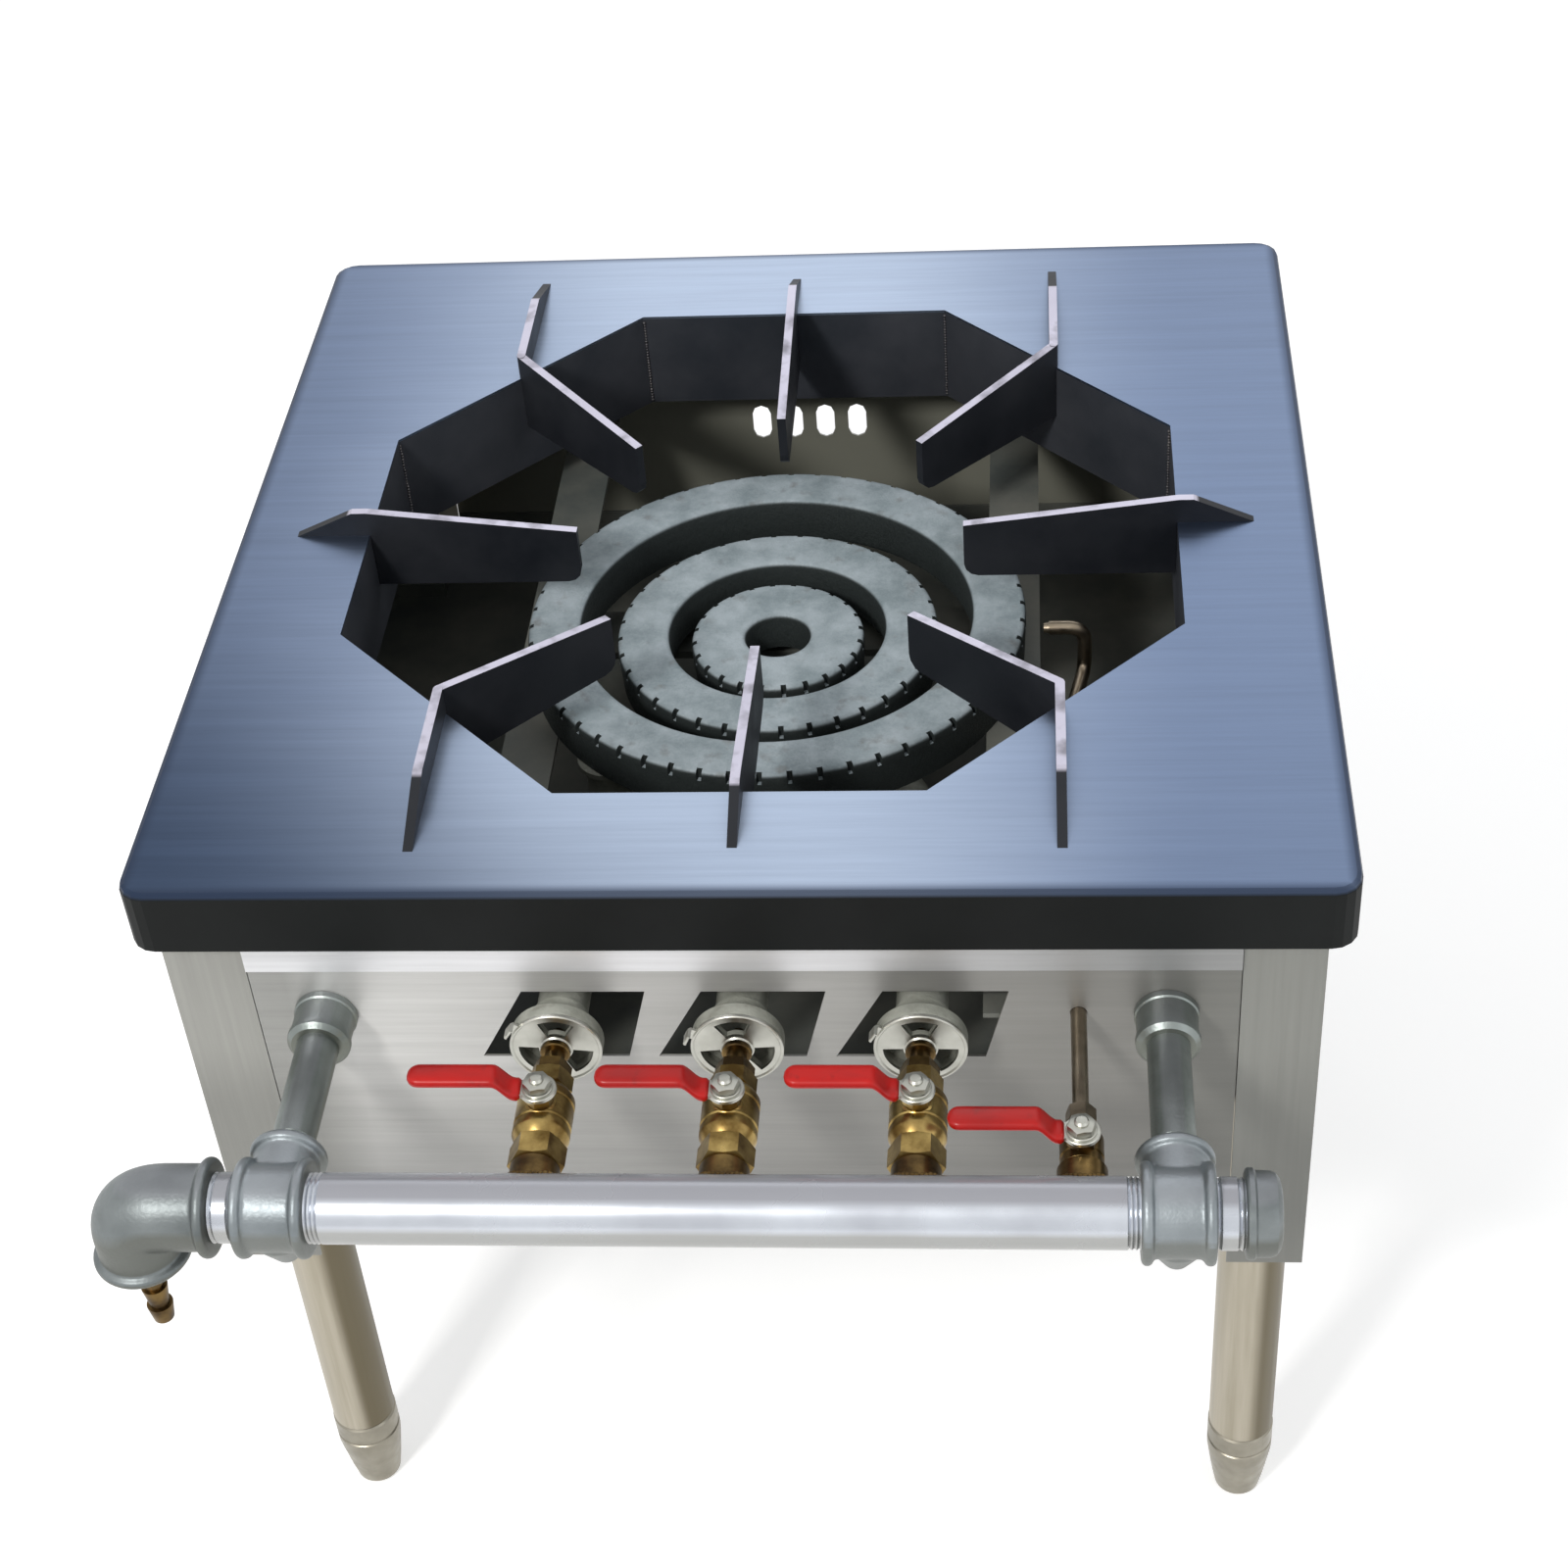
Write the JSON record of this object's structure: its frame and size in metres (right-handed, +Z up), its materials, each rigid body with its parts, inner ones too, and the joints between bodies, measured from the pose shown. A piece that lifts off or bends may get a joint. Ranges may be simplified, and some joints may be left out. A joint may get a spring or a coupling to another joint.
{
  "type": "stock pot range",
  "caption": "Low gas ring stove for one large pot: square steel top with an octagonal well, trivet fins, ring burners, lever valves on a front gas pipe, tubular legs.",
  "frame": {"origin": "centre of the footprint's bounding box, on the floor", "axes": "+X to the right of a cook who faces the valves, +Y to the back, away from the valves, +Z up"},
  "size_m": [0.6044, 0.745, 0.555],
  "materials": {
    "stainless_top": "brushed from side to side, with a bluish cast",
    "stainless_body": "satin sheet",
    "stainless_leg": "satin tube, warm tone",
    "foot_steel": "satin, turned",
    "black_steel": "heat-proof black paint, worn bright along the fins' top edges",
    "burner_iron": "rough sand-cast iron with grey heat bloom",
    "silver_pipe": "silver paint over threaded steel pipe and fittings",
    "brass": "machined, slightly dull",
    "red_vinyl": "flat steel lever dipped in glossy red vinyl, bare at the hub"
  },
  "bodies": {
    "range": {"top_plate": "stainless_top", "burner_well": "black_steel", "trivet_fin_right": "black_steel", "trivet_fin_back": "black_steel", "trivet_fin_left": "black_steel", "trivet_fin_front": "black_steel", "trivet_fin_back_right": "black_steel", "trivet_fin_back_left": "black_steel", "trivet_fin_front_left": "black_steel", "trivet_fin_front_right": "black_steel", "corner_post_front_left": "stainless_body", "corner_post_front_right": "stainless_body", "corner_post_back_left": "stainless_body", "corner_post_back_right": "stainless_body", "front_panel": "stainless_body", "back_panel": "stainless_body", "left_panel": "stainless_body", "right_panel": "stainless_body", "base_tray": "black_steel", "leg_front_left": "stainless_leg", "leg_front_right": "stainless_leg", "leg_back_left": "stainless_leg", "leg_back_right": "stainless_leg", "outer_ring_burner": "burner_iron", "middle_ring_burner": "burner_iron", "inner_ring_burner": "burner_iron", "burner_support_frame": "black_steel", "mixing_tube_left": "burner_iron", "mixing_tube_middle": "burner_iron", "mixing_tube_right": "burner_iron", "injector_left": "brass", "injector_middle": "brass", "injector_right": "brass", "valve_body_left": "brass", "valve_body_middle": "brass", "valve_body_right": "brass", "pilot_valve_body": "brass", "pilot_tube": "silver_pipe", "manifold_pipe": "silver_pipe", "tee_left": "silver_pipe", "tee_right": "silver_pipe", "rail_left": "silver_pipe", "rail_right": "silver_pipe", "close_nipple": "silver_pipe", "inlet_elbow": "silver_pipe", "hose_nipple": "brass", "end_plug": "silver_pipe"},
    "lever_left": {"valve_lever_left": "red_vinyl"},
    "lever_middle": {"valve_lever_middle": "red_vinyl"},
    "lever_right": {"valve_lever_right": "red_vinyl"},
    "lever_pilot": {"pilot_lever": "red_vinyl"},
    "shutter_left": {"air_shutter_left": "burner_iron"},
    "shutter_middle": {"air_shutter_middle": "burner_iron"},
    "shutter_right": {"air_shutter_right": "burner_iron"},
    "foot_front_left": {"foot_front_left": "foot_steel"},
    "foot_front_right": {"foot_front_right": "foot_steel"},
    "foot_back_left": {"foot_back_left": "foot_steel"},
    "foot_back_right": {"foot_back_right": "foot_steel"}
  },
  "joints": [
    {"name": "lever_left_turn", "type": "hinge", "parent": "range", "child": "lever_left", "pos_m": [-0.0878, -0.2925, 0.4733], "axis": [0, 0, 1], "range_deg": [0, 90]},
    {"name": "lever_middle_turn", "type": "hinge", "parent": "range", "child": "lever_middle", "pos_m": [0.0022, -0.2925, 0.4733], "axis": [0, 0, 1], "range_deg": [0, 90]},
    {"name": "lever_right_turn", "type": "hinge", "parent": "range", "child": "lever_right", "pos_m": [0.0922, -0.2925, 0.4733], "axis": [0, 0, 1], "range_deg": [0, 90]},
    {"name": "lever_pilot_turn", "type": "hinge", "parent": "range", "child": "lever_pilot", "pos_m": [0.1692, -0.3135, 0.4678], "axis": [0, 0, 1], "range_deg": [0, 90]},
    {"name": "shutter_left_turn", "type": "hinge", "parent": "range", "child": "shutter_left", "pos_m": [-0.0878, -0.2448, 0.453], "axis": [0, 1, 0], "range_deg": [0, 60]},
    {"name": "shutter_middle_turn", "type": "hinge", "parent": "range", "child": "shutter_middle", "pos_m": [0.0022, -0.2448, 0.453], "axis": [0, 1, 0], "range_deg": [0, 60]},
    {"name": "shutter_right_turn", "type": "hinge", "parent": "range", "child": "shutter_right", "pos_m": [0.0922, -0.2448, 0.453], "axis": [0, 1, 0], "range_deg": [0, 60]},
    {"name": "foot_front_left_screw", "type": "slide", "parent": "range", "child": "foot_front_left", "axis": [0, 0, -1], "range_m": [0, 0.02]},
    {"name": "foot_front_right_screw", "type": "slide", "parent": "range", "child": "foot_front_right", "axis": [0, 0, -1], "range_m": [0, 0.02]},
    {"name": "foot_back_left_screw", "type": "slide", "parent": "range", "child": "foot_back_left", "axis": [0, 0, -1], "range_m": [0, 0.02]},
    {"name": "foot_back_right_screw", "type": "slide", "parent": "range", "child": "foot_back_right", "axis": [0, 0, -1], "range_m": [0, 0.02]}
  ]
}
